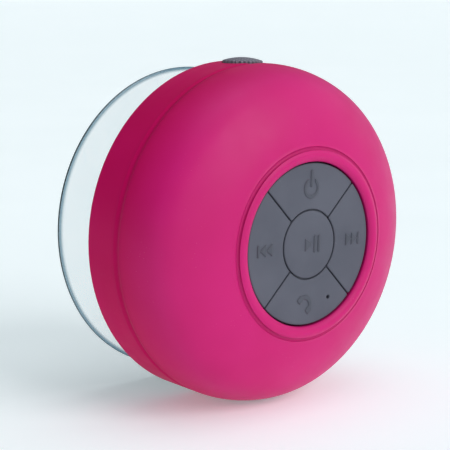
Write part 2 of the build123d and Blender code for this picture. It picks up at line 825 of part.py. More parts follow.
# ---------------------------------------------------------------- leads
def lead(points, bend):
    """One insulated wire through these (x, depth, z) points, with this bend radius."""
    places = [(x, -depth, z) for x, depth, z in points]
    with BuildPart() as wire:
        with BuildLine() as route:
            FilletPolyline(*places, radius=bend)
        with BuildSketch(Plane(origin=route.line @ 0, z_dir=route.line % 0)):
            Circle(lead_radius)
        sweep(path=route.line)
    return wire


def battery_lead(z_start, z_end):
    exit_depth = battery_back + battery_size[2] / 2
    points = [
        (17.2, exit_depth, z_start),
        (24.5, exit_depth, z_start),
        (27.0, 36.4, z_end),
        (26.2, 38.3, z_end),
        (23.1, 38.3, z_end),
    ]
    return lead(points, 0.9)


def speaker_lead(z_start, z_end):
    points = [
        (-13.0, 22.4, z_start),
        (-22.0, 22.4, z_start),
        (-27.0, 27.0, z_end),
        (-27.0, 38.3, z_end),
        (-23.1, 38.3, z_end),
    ]
    return lead(points, 2.0)


def charge_lead(x):
    points = [
        (x, charge_board_front, 29.0),
        (x, 34.0, 29.0),
        (x, 36.5, 23.5),
        (x, board_back, 23.5),
    ]
    return lead(points, 2.0)


battery_lead_red = battery_lead(-2.0, -2.8)
battery_lead_black = battery_lead(-4.6, -5.2)
speaker_lead_red = speaker_lead(1.4, -2.8)
speaker_lead_black = speaker_lead(-1.4, -5.2)
charge_lead_red = charge_lead(-3.2)
charge_lead_black = charge_lead(-0.6)

# ---------------------------------------------------------------- export
pieces = {
    "suction_cup": suction_cup,
    "silicone_skin": silicone_skin,
    "front_housing": front_housing,
    "rear_cover": rear_cover,
    "rear_cover_seal": rear_cover_seal,
    "rear_cover_screws": rear_cover_screws,
    "grille_mesh": grille_mesh,
    "keypad_mat": keypad_mat,
    "key_power": key_power,
    "key_next": key_next,
    "key_call": key_call,
    "key_previous": key_previous,
    "key_play": key_play,
    "switch_bodies": switch_bodies,
    "switch_domes": switch_domes,
    "main_board": main_board,
    "main_board_screws": main_board_screws,
    "bluetooth_module": bluetooth_module,
    "board_chips": board_chips,
    "board_capacitors": board_capacitors,
    "battery_connector": battery_connector,
    "speaker_connector": speaker_connector,
    "microphone_boot": microphone_boot,
    "microphone_capsule": microphone_capsule,
    "status_led": status_led,
    "battery_cell": battery_cell,
    "battery_foam": battery_foam,
    "battery_protection_board": battery_protection_board,
    "charge_board": charge_board,
    "charge_board_screws": charge_board_screws,
    "usb_receptacle": usb_receptacle,
    "usb_insert": usb_insert,
    "port_plug": port_plug,
    "speaker_gasket": speaker_gasket,
    "speaker_basket": speaker_basket,
    "speaker_terminal": speaker_terminal,
    "speaker_top_plate": speaker_top_plate,
    "speaker_magnet": speaker_magnet,
    "speaker_yoke": speaker_yoke,
    "voice_coil": voice_coil,
    "speaker_cone": speaker_cone,
    "dust_cap": dust_cap,
    "speaker_surround": speaker_surround,
    "speaker_spider": speaker_spider,
    "speaker_screws": speaker_screws,
    "battery_lead_red": battery_lead_red,
    "battery_lead_black": battery_lead_black,
    "speaker_lead_red": speaker_lead_red,
    "speaker_lead_black": speaker_lead_black,
    "charge_lead_red": charge_lead_red,
    "charge_lead_black": charge_lead_black,
}
pieces.update({f"plunger_{name}": plunger for name, plunger in plungers.items()})

os.makedirs("parts", exist_ok=True)
for name, piece in pieces.items():
    piece.part.label = name
    export_step(piece.part, f"parts/{name}.step")
print(len(pieces), "pieces")
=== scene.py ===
"""Shower speaker: materials, fine pieces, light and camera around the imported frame.

Places are in the row's frame: the wall is the plane Y = 0, the keys face -Y and the charging port is on top.
Depth is the distance from the wall. Sizes are millimetres, which MM turns into metres.
"""

import json
import math

import bmesh
import bpy
from mathutils import Matrix, Vector
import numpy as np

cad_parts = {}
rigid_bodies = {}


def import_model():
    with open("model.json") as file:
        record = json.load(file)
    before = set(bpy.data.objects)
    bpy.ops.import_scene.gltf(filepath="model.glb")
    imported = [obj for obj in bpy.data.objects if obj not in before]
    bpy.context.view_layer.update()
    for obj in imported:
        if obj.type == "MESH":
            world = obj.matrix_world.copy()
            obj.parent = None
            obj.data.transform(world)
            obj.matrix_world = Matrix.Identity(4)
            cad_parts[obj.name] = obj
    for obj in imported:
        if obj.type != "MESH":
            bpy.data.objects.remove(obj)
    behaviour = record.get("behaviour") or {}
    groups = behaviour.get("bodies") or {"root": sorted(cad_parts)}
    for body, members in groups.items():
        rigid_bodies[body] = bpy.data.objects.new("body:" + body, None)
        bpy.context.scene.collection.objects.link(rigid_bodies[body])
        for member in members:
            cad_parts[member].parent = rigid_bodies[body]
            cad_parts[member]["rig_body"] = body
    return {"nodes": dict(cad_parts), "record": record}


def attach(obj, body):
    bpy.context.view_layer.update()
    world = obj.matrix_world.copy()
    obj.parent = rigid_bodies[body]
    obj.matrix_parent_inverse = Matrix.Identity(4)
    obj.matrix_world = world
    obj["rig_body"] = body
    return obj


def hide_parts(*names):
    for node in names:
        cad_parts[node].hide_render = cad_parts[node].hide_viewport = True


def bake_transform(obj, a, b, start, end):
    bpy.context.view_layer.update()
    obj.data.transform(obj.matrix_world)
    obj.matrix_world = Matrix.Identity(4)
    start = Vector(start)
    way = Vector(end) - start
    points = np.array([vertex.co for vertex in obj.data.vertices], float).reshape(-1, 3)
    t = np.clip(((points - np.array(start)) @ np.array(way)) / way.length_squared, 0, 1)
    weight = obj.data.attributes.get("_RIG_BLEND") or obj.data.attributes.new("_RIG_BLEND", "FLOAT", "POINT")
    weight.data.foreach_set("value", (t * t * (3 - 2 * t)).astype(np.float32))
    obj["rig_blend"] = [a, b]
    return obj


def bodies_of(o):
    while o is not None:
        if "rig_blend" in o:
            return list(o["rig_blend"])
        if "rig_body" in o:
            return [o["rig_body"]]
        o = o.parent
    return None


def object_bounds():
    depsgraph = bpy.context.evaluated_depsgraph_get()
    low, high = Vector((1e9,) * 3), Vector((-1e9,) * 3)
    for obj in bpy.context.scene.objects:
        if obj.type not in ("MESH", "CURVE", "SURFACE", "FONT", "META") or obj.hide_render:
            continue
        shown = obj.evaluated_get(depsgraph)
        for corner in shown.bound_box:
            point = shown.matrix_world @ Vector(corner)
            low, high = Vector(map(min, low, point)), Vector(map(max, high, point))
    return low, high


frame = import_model()
cad_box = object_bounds()
nodes = frame["nodes"]

MM = 0.001

# Sizes that several pieces or materials share, in millimetres.
BODY_RADIUS = 43.0
CUP_RADIUS = 40.0  # to the middle of the cup's rounded rim
KEY_FACE = 49.7  # depth of the keys' faces, which their symbols stand up from
PORT_DEPTH = 23.4  # depth of the charging port's middle
SKIN = 1.54  # thickness of the silicone
WALL_END = 30.3  # depth where the straight side wall runs into the dome
SIDE, SHOULDER, FRONT = 22.0, 13.5, 33.0  # radii of the dome's three arcs
SIDE_END, SHOULDER_END, FRONT_END = 22.0, 55.0, 79.8  # where each ends, in degrees
CREASE, CREASE_DIP = 28.9, 0.3  # depth of the crease's lowest line, and how far it sinks there
CREASE_REAR, CREASE_FRONT = 1.3, 1.4  # how far it reaches each side of that line


# ---------------------------------------------------------------- node graphs
class Graph:
    """One material's node graph. Its textures are laid out in the row's frame and stay with the piece."""

    def __init__(self, name):
        self.material = bpy.data.materials.new(name)
        self.material.use_nodes = True
        self.tree = self.material.node_tree
        self.shader = self.tree.nodes["Principled BSDF"]
        self.place = self.node("ShaderNodeTexCoord").outputs["Object"]

    def node(self, kind, **settings):
        made = self.tree.nodes.new(kind)
        for key, value in settings.items():
            setattr(made, key, value)
        return made

    def feed(self, socket, value):
        """Links value to a socket, or sets it there if it is a plain number or colour."""
        if isinstance(value, bpy.types.NodeSocket):
            self.tree.links.new(value, socket)
        else:
            socket.default_value = value

    def set(self, **values):
        """Sets the shader's sockets: base_color=..., roughness=... ."""
        names = {s.name.lower().replace(" ", "_"): s for s in self.shader.inputs}
        for key, value in values.items():
            self.feed(names[key], value)

    def stretched(self, scale):
        """The place, multiplied by a scale for each axis."""
        made = self.node("ShaderNodeMapping")
        self.feed(made.inputs["Vector"], self.place)
        made.inputs["Scale"].default_value = scale
        return made.outputs["Vector"]

    def noise(self, scale, detail=3.0, roughness=0.5, place=None):
        made = self.node("ShaderNodeTexNoise")
        self.feed(made.inputs["Vector"], place or self.place)
        made.inputs["Scale"].default_value = scale
        made.inputs["Detail"].default_value = detail
        made.inputs["Roughness"].default_value = roughness
        return made.outputs["Fac"]

    def cells(self, scale, feature="F1"):
        made = self.node("ShaderNodeTexVoronoi", feature=feature)
        self.feed(made.inputs["Vector"], self.place)
        made.inputs["Scale"].default_value = scale
        return made.outputs["Distance"]

    def wave(self, scale, direction, distortion=0.0):
        made = self.node("ShaderNodeTexWave", bands_direction=direction)
        self.feed(made.inputs["Vector"], self.place)
        made.inputs["Scale"].default_value = scale
        made.inputs["Distortion"].default_value = distortion
        return made.outputs["Fac"]

    def remap(self, value, low, high, to_low=0.0, to_high=1.0):
        made = self.node("ShaderNodeMapRange")
        self.feed(made.inputs["Value"], value)
        for name, number in zip(("From Min", "From Max", "To Min", "To Max"), (low, high, to_low, to_high)):
            made.inputs[name].default_value = number
        return made.outputs["Result"]

    def math(self, operation, a, b=0.0):
        made = self.node("ShaderNodeMath", operation=operation)
        self.feed(made.inputs[0], a)
        self.feed(made.inputs[1], b)
        return made.outputs["Value"]

    def blend(self, factor, a, b):
        """Colour a where factor is 0 and b where it is 1."""
        made = self.node("ShaderNodeMix", data_type="RGBA")
        self.feed(made.inputs["Factor"], factor)
        self.feed(made.inputs["A"], a)
        self.feed(made.inputs["B"], b)
        return made.outputs["Result"]

    def radius(self):
        """Distance from the body's axis, in metres."""
        made = self.node("ShaderNodeVectorMath", operation="LENGTH")
        self.feed(made.inputs[0], self.stretched((1, 0, 1)))
        return made.outputs["Value"]

    def depth(self):
        """Distance from the wall, in metres."""
        made = self.node("ShaderNodeVectorMath", operation="DOT_PRODUCT")
        self.feed(made.inputs[0], self.place)
        made.inputs[1].default_value = (0, -1, 0)
        return made.outputs["Value"]

    def edges(self, low=0.51, high=0.56):
        """1 on convex edges, where wear and polish gather."""
        return self.remap(self.node("ShaderNodeNewGeometry").outputs["Pointiness"], low, high)

    def hollows(self, distance):
        """1 down in grooves and corners closer than this: pale dust on the black pieces, painted shade on the
        silicones, brownish grey on metals and small mouldings.
        """
        made = self.node("ShaderNodeAmbientOcclusion", samples=8, only_local=False)
        made.inputs["Distance"].default_value = distance
        return self.remap(made.outputs["AO"], 0.9, 0.35)

    def bump(self, height, depth, before=None):
        """A bump whose full height is depth metres, on top of an earlier bump."""
        made = self.node("ShaderNodeBump")
        self.feed(made.inputs["Height"], height)
        made.inputs["Distance"].default_value = depth
        made.inputs["Strength"].default_value = 1.0
        if before:
            self.feed(made.inputs["Normal"], before)
        return made.outputs["Normal"]


def linear(red, green, blue, alpha=1.0):
    """An sRGB colour, 0 to 255, in the linear values that shaders use."""
    values = [c / 255 for c in (red, green, blue)]
    return (*[v / 12.92 if v <= 0.04045 else ((v + 0.055) / 1.055) ** 2.4 for v in values], alpha)


# ---------------------------------------------------------------- materials
STUDS = 320  # scale of the plug's knurl


def pink_silicone():
    """Silicone that is satin on the dome, and matt and a little redder on the side next to the wall."""
    g = Graph("pink_silicone")
    cloud = g.noise(45, detail=2)
    flow = g.noise(160, detail=4, roughness=0.6)
    grain = g.noise(5200, detail=2)
    dust = g.remap(g.cells(900), 0.10, 0.04)
    dusty = g.math("MULTIPLY", dust, g.remap(g.noise(70, detail=1), 0.52, 0.7))
    patches = g.remap(cloud, 0.35, 0.65)
    side = g.blend(patches, linear(199, 8, 88), linear(205, 13, 94))
    dome = g.blend(patches, linear(198, 14, 106), linear(204, 20, 113))
    on_dome = g.remap(g.depth(), 30 * MM, 41 * MM)
    tone = g.blend(on_dome, side, dome)
    # Painted shade: darker pink down in grooves and corners.
    tone = g.blend(g.math("MULTIPLY", g.hollows(1.4 * MM), 0.55), tone, linear(120, 10, 58))
    # Painted shade: a darker band along the crease, on the outer face.
    from_crease = g.math("ABSOLUTE", g.math("SUBTRACT", g.depth(), CREASE * MM))
    crease_shade = g.remap(from_crease, 2.6 * MM, 0.2 * MM)
    crease_shade = g.math("MULTIPLY", crease_shade, g.remap(g.radius(), 41 * MM, 42 * MM))
    tone = g.blend(g.math("MULTIPLY", crease_shade, 0.16), tone, linear(120, 6, 52))
    tone = g.blend(g.math("MULTIPLY", dusty, 0.3), tone, linear(228, 150, 185))
    rough = g.math("ADD", g.remap(flow, 0.3, 0.7, 0.42, 0.52), g.math("MULTIPLY", dusty, 0.2))
    rough = g.math("SUBTRACT", rough, g.math("MULTIPLY", g.edges(), 0.08))
    normal = g.bump(cloud, 0.04 * MM)
    normal = g.bump(grain, 0.004 * MM, normal)
    g.set(base_color=tone, roughness=rough, normal=normal)
    g.set(subsurface_weight=0.12, subsurface_radius=(3.0, 0.6, 1.2), subsurface_scale=0.4 * MM)
    g.set(specular_ior_level=g.remap(on_dome, 0, 1, 0.06, 0.33), ior=1.43)
    return g.material


def grey_rubber(name, dark, light, roughness, knurl=0.0):
    """Matt grey silicone or rubber with a fine moulded grain, and a knurl of this depth."""
    g = Graph(name)
    cloud = g.noise(60, detail=3)
    grain = g.noise(4200, detail=2)
    dust = g.remap(g.cells(1100), 0.10, 0.04)
    dusty = g.math("MULTIPLY", dust, g.remap(g.noise(90, detail=1), 0.5, 0.68))
    tone = g.blend(g.remap(cloud, 0.35, 0.65), dark, light)
    # Painted shade: darker grey down in the gaps between the keys and in corners.
    tone = g.blend(g.math("MULTIPLY", g.hollows(0.8 * MM), 0.3), tone, linear(56, 58, 66))
    # Painted shade: the raised symbols a little darker than the key face, standing in for the shade round their
    # relief.
    symbol_shade = g.remap(g.depth(), (KEY_FACE + 0.1) * MM, (KEY_FACE + 0.26) * MM)
    tone = g.blend(g.math("MULTIPLY", symbol_shade, 0.4), tone, linear(56, 58, 66))
    tone = g.blend(g.math("MULTIPLY", dusty, 0.3), tone, linear(190, 192, 198))
    rough = g.remap(g.noise(220, detail=4), 0.3, 0.7, roughness - 0.06, roughness + 0.06)
    normal = g.bump(grain, 0.006 * MM, g.bump(cloud, 0.03 * MM))
    if knurl:
        studs = g.math("MULTIPLY", g.wave(STUDS, "X"), g.wave(STUDS, "Y"))
        tone = g.blend(g.math("MULTIPLY", studs, 0.55), tone, linear(166, 158, 172))
        normal = g.bump(studs, knurl, normal)
    g.set(base_color=tone, roughness=rough, normal=normal, specular_ior_level=0.4)
    return g.material


def cup_vinyl():
    """Milky clear vinyl: frosted across the dish, with painted shade along its rim, where it is seen edge on."""
    g = Graph("cup_vinyl")
    haze = g.noise(90, detail=5, roughness=0.6)
    scuffs = g.remap(g.noise(420, detail=4, place=g.stretched((1, 1, 0.25))), 0.62, 0.74)
    tone = g.blend(g.remap(haze, 0.35, 0.7), linear(254, 255, 255), linear(249, 252, 253))
    tone = g.blend(g.math("MULTIPLY", scuffs, 0.25), tone, linear(214, 226, 231))
    # Painted shade: dark blue-grey along the rim, standing in for the dark refraction where the vinyl is seen
    # edge on.
    rim_shade = g.remap(g.radius(), (CUP_RADIUS - 0.8) * MM, CUP_RADIUS * MM)
    tone = g.blend(rim_shade, tone, linear(112, 142, 157))
    rough = g.math("ADD", g.remap(haze, 0.3, 0.7, 0.09, 0.17), g.math("MULTIPLY", scuffs, 0.15))
    g.set(base_color=tone, roughness=rough, normal=g.bump(g.noise(70, detail=1), 0.04 * MM))
    g.set(transmission_weight=0.97, ior=1.42)
    return g.material


def black_plastic():
    """Textured ABS."""
    g = Graph("black_plastic")
    spark = g.cells(2600)
    cloud = g.noise(70, detail=3)
    tone = g.blend(cloud, linear(24, 24, 26), linear(31, 31, 34))
    tone = g.blend(g.math("MULTIPLY", g.edges(), 0.4), tone, linear(62, 62, 66))
    tone = g.blend(g.math("MULTIPLY", g.hollows(0.8 * MM), 0.15), tone, linear(70, 68, 66))
    rough = g.remap(g.noise(300, detail=4), 0.3, 0.7, 0.42, 0.6)
    normal = g.bump(spark, 0.02 * MM, g.bump(cloud, 0.02 * MM))
    g.set(base_color=tone, roughness=rough, normal=normal)
    return g.material


def soft_black(name, roughness, grain_scale, grain_depth):
    """Black rubber, foam, paper or cloth, by its grain."""
    g = Graph(name)
    cloud = g.noise(90, detail=4)
    grain = g.noise(grain_scale, detail=4, roughness=0.7)
    tone = g.blend(cloud, linear(16, 16, 17), linear(34, 33, 33))
    tone = g.blend(g.math("MULTIPLY", g.hollows(1.0 * MM), 0.3), tone, linear(70, 68, 64))
    rough = g.remap(g.noise(260, detail=3), 0.3, 0.7, roughness - 0.08, roughness + 0.08)
    g.set(base_color=tone, roughness=rough, normal=g.bump(grain, grain_depth))
    return g.material


def bare_metal(name, dark, light, roughness, brush=(1, 1, 1)):
    """Plated or rolled metal; brush stretches its fine scratches along an axis."""
    g = Graph(name)
    scratches = g.noise(900, detail=5, roughness=0.7, place=g.stretched(brush))
    stains = g.noise(240, detail=4, roughness=0.65)
    tone = g.blend(g.remap(stains, 0.35, 0.7), light, dark)
    tone = g.blend(g.math("MULTIPLY", g.hollows(0.6 * MM), 0.5), tone, linear(50, 47, 43))
    rough = g.remap(scratches, 0.3, 0.7, roughness - 0.07, roughness + 0.07)
    rough = g.math("ADD", rough, g.remap(stains, 0.5, 0.8, 0.0, 0.12))
    g.set(base_color=tone, roughness=rough, metallic=1.0, normal=g.bump(scratches, 0.004 * MM))
    return g.material


def circuit_board():
    """Green board, with paler tracks under the lacquer."""
    g = Graph("circuit_board")
    weave = g.math("MULTIPLY", g.wave(420, "X"), g.wave(420, "Z"))
    tracks = g.remap(g.cells(330, feature="DISTANCE_TO_EDGE"), 0.05, 0.075)
    tone = g.blend(tracks, linear(28, 110, 62), linear(12, 66, 40))
    tone = g.blend(g.remap(g.noise(200), 0.6, 0.75), tone, linear(20, 82, 50))
    normal = g.bump(weave, 0.004 * MM, g.bump(tracks, 0.02 * MM))
    g.set(base_color=tone, roughness=g.remap(g.noise(300), 0.3, 0.7, 0.25, 0.4), normal=normal)
    g.set(coat_weight=0.4, coat_roughness=0.2)
    return g.material


def moulded(name, dark, light, roughness, transmission=0.0):
    """Small hard mouldings: connectors, chips, lenses and wire insulation."""
    g = Graph(name)
    cloud = g.noise(350, detail=3)
    tone = g.blend(g.remap(cloud, 0.3, 0.7), dark, light)
    tone = g.blend(g.math("MULTIPLY", g.hollows(0.6 * MM), 0.4), tone, linear(40, 38, 36))
    rough = g.remap(g.noise(900, detail=3), 0.3, 0.7, roughness - 0.06, roughness + 0.08)
    g.set(base_color=tone, roughness=rough, transmission_weight=transmission)
    g.set(normal=g.bump(g.noise(2600, detail=2), 0.006 * MM))
    return g.material


def woven(name, dark, light, threads, depth, metallic=0.0):
    """A plain weave across the body's axis, with this many threads to the metre."""
    g = Graph(name)
    over = g.wave(threads, "X", distortion=0.2)
    under = g.wave(threads, "Z", distortion=0.2)
    weave = g.math("MAXIMUM", over, under)
    tone = g.blend(weave, dark, light)
    rough = g.remap(g.noise(400), 0.3, 0.7, 0.45, 0.7)
    g.set(base_color=tone, roughness=rough, metallic=metallic, normal=g.bump(weave, depth))
    return g.material


def copper_winding():
    """Enamelled wire, wound turn by turn along the axis."""
    g = Graph("copper_winding")
    turns = g.wave(1900, "Y")
    tone = g.blend(g.noise(300), linear(178, 92, 48), linear(208, 122, 70))
    tone = g.blend(turns, linear(96, 42, 22), tone)
    rough = g.remap(g.noise(500), 0.3, 0.7, 0.22, 0.36)
    g.set(base_color=tone, roughness=rough, metallic=0.85, normal=g.bump(turns, 0.05 * MM))
    return g.material


def ferrite():
    """Pitted grey ceramic magnet."""
    g = Graph("ferrite")
    pits = g.remap(g.cells(700), 0.0, 0.25)
    tone = g.blend(g.noise(260, detail=5), linear(44, 44, 47), linear(66, 65, 68))
    tone = g.blend(g.math("MULTIPLY", g.edges(), 0.6), tone, linear(104, 100, 98))
    rough = g.remap(g.noise(500), 0.3, 0.7, 0.5, 0.72)
    g.set(base_color=tone, roughness=rough, metallic=0.3, normal=g.bump(pits, 0.03 * MM))
    return g.material


# Two tones each, darker first, where they don't fit the line below.
CAPACITOR_METAL = (linear(168, 168, 172), linear(206, 206, 210))
PLUG_GREY = (linear(108, 104, 116), linear(118, 113, 125))

MATERIALS = {
    "cup_vinyl": cup_vinyl(),
    "pink_silicone": pink_silicone(),
    "black_plastic": black_plastic(),
    "grey_silicone": grey_rubber("grey_silicone", linear(79, 80, 92), linear(87, 88, 100), 0.55),
    "grey_rubber": grey_rubber("grey_rubber", *PLUG_GREY, 0.58, knurl=0.12 * MM),
    "seal_rubber": soft_black("seal_rubber", 0.5, 1800, 0.01 * MM),
    "screw_steel": bare_metal("screw_steel", linear(128, 128, 132), linear(176, 176, 178), 0.3),
    "mesh_steel": woven("mesh_steel", linear(18, 18, 19), linear(92, 92, 96), 700, 0.12 * MM, metallic=0.8),
    "board_green": circuit_board(),
    "chip_black": moulded("chip_black", linear(24, 24, 26), linear(36, 36, 39), 0.45),
    "can_metal": bare_metal("can_metal", linear(150, 150, 154), linear(196, 196, 198), 0.26, (1, 1, 9)),
    "capacitor_metal": bare_metal("capacitor_metal", *CAPACITOR_METAL, 0.24, (1, 8, 1)),
    "connector_plastic": moulded("connector_plastic", linear(214, 206, 180), linear(230, 224, 204), 0.42),
    "switch_dome": bare_metal("switch_dome", linear(160, 158, 150), linear(200, 198, 190), 0.2),
    "led_clear": moulded("led_clear", linear(224, 232, 240), linear(240, 244, 248), 0.12, transmission=0.7),
    "cell_foil": bare_metal("cell_foil", linear(170, 171, 175), linear(206, 207, 210), 0.34, (6, 1, 1)),
    "foam_black": soft_black("foam_black", 0.88, 2400, 0.12 * MM),
    "frame_steel": moulded("frame_steel", linear(26, 26, 28), linear(40, 40, 42), 0.38),
    "ferrite": ferrite(),
    "zinc_steel": bare_metal("zinc_steel", linear(150, 142, 110), linear(190, 182, 150), 0.32),
    "coil_copper": copper_winding(),
    "cone_paper": soft_black("cone_paper", 0.75, 1500, 0.06 * MM),
    "surround_rubber": soft_black("surround_rubber", 0.46, 2600, 0.008 * MM),
    "spider_cloth": woven("spider_cloth", linear(120, 92, 44), linear(196, 164, 98), 520, 0.1 * MM),
    "lead_red": moulded("lead_red", linear(168, 22, 24), linear(190, 32, 32), 0.32),
    "lead_black": moulded("lead_black", linear(20, 20, 22), linear(32, 32, 34), 0.34),
}

slot_of = {part["node"]: part["material_slot"] for part in frame["record"]["subparts"]}
body_of = {name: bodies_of(piece)[0] for name, piece in nodes.items()}
for name, piece in nodes.items():
    piece.data.materials.clear()
    piece.data.materials.append(MATERIALS[slot_of[name]])


# ---------------------------------------------------------------- moulded pieces
def finished(name, mesh, node):
    """Shows a mesh in the place of a CAD node, with the same finish."""
    mesh.materials.clear()
    mesh.materials.append(MATERIALS[slot_of[node]])
    piece = bpy.data.objects.new(name, mesh)
    bpy.context.scene.collection.objects.link(piece)
    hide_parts(node)
    return piece


def shown(name, mesh, node):
    """Shows a mesh in the place of a CAD node, on the same body and with the same finish."""
    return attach(finished(name, mesh, node), body_of[node])


def with_modifiers(name, mesh, *modifiers):
    """The mesh after these modifiers: (type, {setting: value}) pairs."""
    worked = bpy.data.objects.new(name + "_blank", mesh)
    bpy.context.scene.collection.objects.link(worked)
    for kind, settings in modifiers:
        modifier = worked.modifiers.new(kind.lower(), kind)
        for key, value in settings.items():
            setattr(modifier, key, value)
    graph = bpy.context.evaluated_depsgraph_get()
    made = bpy.data.meshes.new_from_object(worked.evaluated_get(graph))
    made.name = name
    bpy.data.objects.remove(worked)
    return made


def softened(name, node, voxel, passes, kept, fuller=0.0):
    """A silicone piece with the CAD solid's shape and every edge rounded over, as it leaves the mould.
    Sizes in millimetres; fuller swells it, to make up what the smoothing takes."""
    mesh = with_modifiers(
        name,
        nodes[node].data.copy(),
        ("REMESH", {"mode": "VOXEL", "voxel_size": voxel * MM}),
        ("SMOOTH", {"factor": 0.5, "iterations": passes}),
        ("DISPLACE", {"strength": fuller * MM, "mid_level": 0.0}),
        ("DECIMATE", {"ratio": kept}),
    )
    mesh.shade_smooth()
    return shown(name, mesh, node)


def arc(centre, radius, start, end, count):
    """Points on an arc of the section, as (radius from the axis, depth). Angles in degrees."""
    angles = [math.radians(start + (end - start) * step / count) for step in range(count + 1)]
    return [(centre[0] + radius * math.cos(a), centre[1] + radius * math.sin(a)) for a in angles]


def arc_through(first, middle, last, count):
    """Points on the circular arc through three points of the section."""
    (ax, ay), (bx, by), (cx, cy) = first, middle, last
    cross = 2 * (ax * (by - cy) + bx * (cy - ay) + cx * (ay - by))
    a2, b2, c2 = (x * x + y * y for x, y in (first, middle, last))
    centre = (
        (a2 * (by - cy) + b2 * (cy - ay) + c2 * (ay - by)) / cross,
        (a2 * (cx - bx) + b2 * (ax - cx) + c2 * (bx - ax)) / cross,
    )
    start, end = (math.degrees(math.atan2(y - centre[1], x - centre[0])) for x, y in (first, last))
    return arc(centre, math.dist(centre, first), start, end + (360 if end < start else 0), count)


def run(first, last, count):
    """Points evenly along a straight stretch of the section."""
    steps = [step / count for step in range(count + 1)]
    return [(first[0] + (last[0] - first[0]) * t, first[1] + (last[1] - first[1]) * t) for t in steps]


def flowing(points, start, end, count):
    """A smooth curve through these points of the section, with these slopes at its ends."""
    slopes = [start]
    for before, after in zip(points, points[2:]):
        slopes.append(((after[0] - before[0]) / 2, (after[1] - before[1]) / 2))
    slopes.append(end)
    made = []
    for a, b, slope_a, slope_b in zip(points, points[1:], slopes, slopes[1:]):
        for step in range(count):
            t = step / count
            near, far = (1 + 2 * t) * (1 - t) ** 2, t * t * (3 - 2 * t)
            leave, reach = t * (1 - t) ** 2, t * t * (t - 1)
            shares = ((near, a), (far, b), (leave, slope_a), (reach, slope_b))
            made.append(tuple(sum(share * point[k] for share, point in shares) for k in (0, 1)))
    return made + [points[-1]]


def lathe(section, turns):
    """Turns a closed section about the body's axis."""
    work = bmesh.new()
    rings = []
    for step in range(turns):
        turn = 2 * math.pi * step / turns
        across, up = math.cos(turn), math.sin(turn)
        rings.append([work.verts.new((r * across * MM, -depth * MM, r * up * MM)) for r, depth in section])
    for near, far in zip(rings, rings[1:] + rings[:1]):
        for k in range(len(section)):
            work.faces.new((near[k - 1], near[k], far[k], far[k - 1]))
    bmesh.ops.remove_doubles(work, verts=work.verts, dist=0.0005 * MM)
    bmesh.ops.dissolve_degenerate(work, edges=work.edges, dist=0.0005 * MM)
    bmesh.ops.recalc_face_normals(work, faces=work.faces)
    return work


def as_mesh(work, name):
    mesh = bpy.data.meshes.new(name)
    work.to_mesh(mesh)
    work.free()
    mesh.shade_smooth()
    return mesh


def prism(outline, low, high):
    """An upright prism from an outline of (x, y) points, in millimetres."""
    work = bmesh.new()
    bottom = [work.verts.new((x * MM, y * MM, low * MM)) for x, y in outline]
    top = [work.verts.new((x * MM, y * MM, high * MM)) for x, y in outline]
    work.faces.new(bottom)
    work.faces.new(top)
    for k in range(len(outline)):
        work.faces.new((bottom[k - 1], bottom[k], top[k], top[k - 1]))
    bmesh.ops.recalc_face_normals(work, faces=work.faces)
    return work


# The centres of the dome's three arcs. Each arc leaves the one before it without a corner.
side_centre = (BODY_RADIUS - SIDE, WALL_END)
shoulder_centre = arc(side_centre, SIDE - SHOULDER, SIDE_END, SIDE_END, 1)[0]
front_centre = arc(shoulder_centre, SHOULDER - FRONT, SHOULDER_END, SHOULDER_END, 1)[0]


def dome(inset, steps, last):
    """The dome's outline from its side wall to the ring, this far inside the outer face."""
    points = arc(side_centre, SIDE - inset, 0, SIDE_END, steps)
    points += arc(shoulder_centre, SHOULDER - inset, SIDE_END, SHOULDER_END, steps)[1:]
    return points + arc(front_centre, FRONT - inset, SHOULDER_END, last, 2 * steps)[1:]


def skin_section():
    """The skin's section, from its rear lip over the dome and the ring to the deck, and back inside."""
    lip_inner, lip_outer = ((40.45, 17.25), 0.25), ((BODY_RADIUS - 0.8, 17.8), 0.8)
    points = arc(*lip_inner, 180, 270, 3) + arc(*lip_outer, 270, 360, 8)
    points += run((BODY_RADIUS, 18.4), (BODY_RADIUS, CREASE - CREASE_REAR - 0.2), 12)
    for step in range(21):
        across = step / 10 - 1
        reach = CREASE_REAR if across < 0 else CREASE_FRONT
        dip = CREASE_DIP * math.cos(math.pi / 2 * across) ** 2
        points.append((BODY_RADIUS - dip, CREASE + reach * across))
    # The ring and, at its foot, a round groove.
    ring_crest, ring_inner, deck = (21.65, 50.85), 20.4, 46.6
    slope = dome(0, 14, FRONT_END)[1:]
    ring = arc_through(slope[-1], ring_crest, (ring_inner, 50.0), 26)
    groove, groove_radius = (23.64, 50.26), 0.55
    slope = [p for p in slope if math.dist(p, groove) > groove_radius + 0.05]
    ring = [p for p in ring if math.dist(p, groove) > groove_radius + 0.05]
    ends = [math.atan2(p[1] - groove[1], p[0] - groove[0]) for p in (slope[-1], ring[0])]
    start, end = (math.degrees(angle) for angle in ends)
    points += slope + arc(groove, groove_radius, start, end - 360 if end > start else end, 10) + ring
    # Down to the deck, out under the ring, and back inside.
    under_ring = 23.1
    points += run((ring_inner, KEY_FACE), (ring_inner, deck), 4)
    points += [(under_ring, deck), (under_ring, 48.4)] + dome(SKIN, 6, 77.5)[::-1]
    return points + [(BODY_RADIUS - SKIN, 19.0), (40.2, 19.0)]


def circle(x, y, radius, count):
    """Points round a circle seen from above."""
    turns = [2 * math.pi * step / count for step in range(count)]
    return [(x + radius * math.cos(t), y + radius * math.sin(t)) for t in turns]


